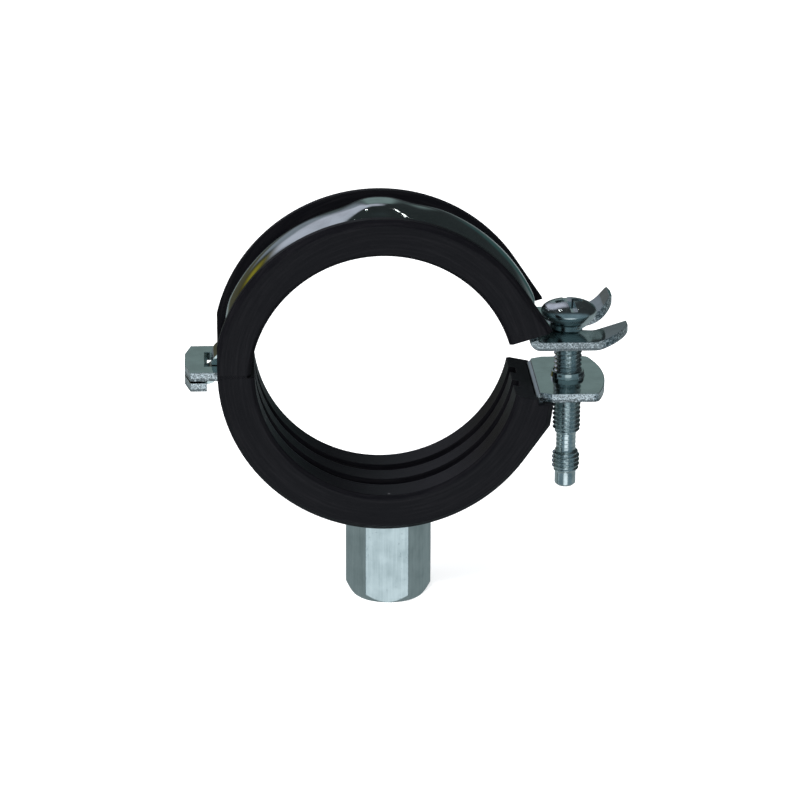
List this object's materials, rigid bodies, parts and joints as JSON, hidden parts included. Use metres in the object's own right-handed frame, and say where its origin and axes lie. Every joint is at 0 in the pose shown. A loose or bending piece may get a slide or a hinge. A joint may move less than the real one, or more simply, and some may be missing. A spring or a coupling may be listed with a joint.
{
  "type": "rubber lined pipe clamp",
  "caption": "Hinged steel pipe clamp with a ribbed rubber lining, closed by a side screw, with a stepped threaded nut welded on for a hanger rod.",
  "frame": {"origin": "on the axis of the pipe seat of the lower half, in the middle of its width", "axes": "+X from the hinge towards the closing screw, +Y along the pipe, +Z from the connection nut towards the upper half"},
  "size_m": [0.0761, 0.021, 0.0718],
  "materials": {
    "zinc_strip": "bright zinc plating on drawn strip, cut edges rough",
    "black_rubber": "matte extruded rubber",
    "zinc_nut": "satin zinc plating on drawn hexagon bar",
    "zinc_screw": "bright zinc plating"
  },
  "bodies": {
    "lower_half": {"lower_band": "zinc_strip", "lower_lining": "black_rubber", "connection_nut": "zinc_nut"},
    "upper_half": {"upper_band": "zinc_strip", "upper_lining": "black_rubber"},
    "screw": {"closing_screw": "zinc_screw"}
  },
  "joints": [
    {"name": "upper_half_hinge", "type": "hinge", "parent": "lower_half", "child": "upper_half", "pos_m": [-0.0309, 0, -0.00155], "axis": [0, -1, 0], "range_deg": [0, 10.7]},
    {"name": "screw_travel", "type": "slide", "parent": "lower_half", "child": "screw", "axis": [0, 0, 1], "range_m": [0, 0.0131]}
  ],
  "couplings": [
    {"joint": "screw_travel", "follows": "upper_half_hinge", "m_per_rad": 0.07}
  ]
}
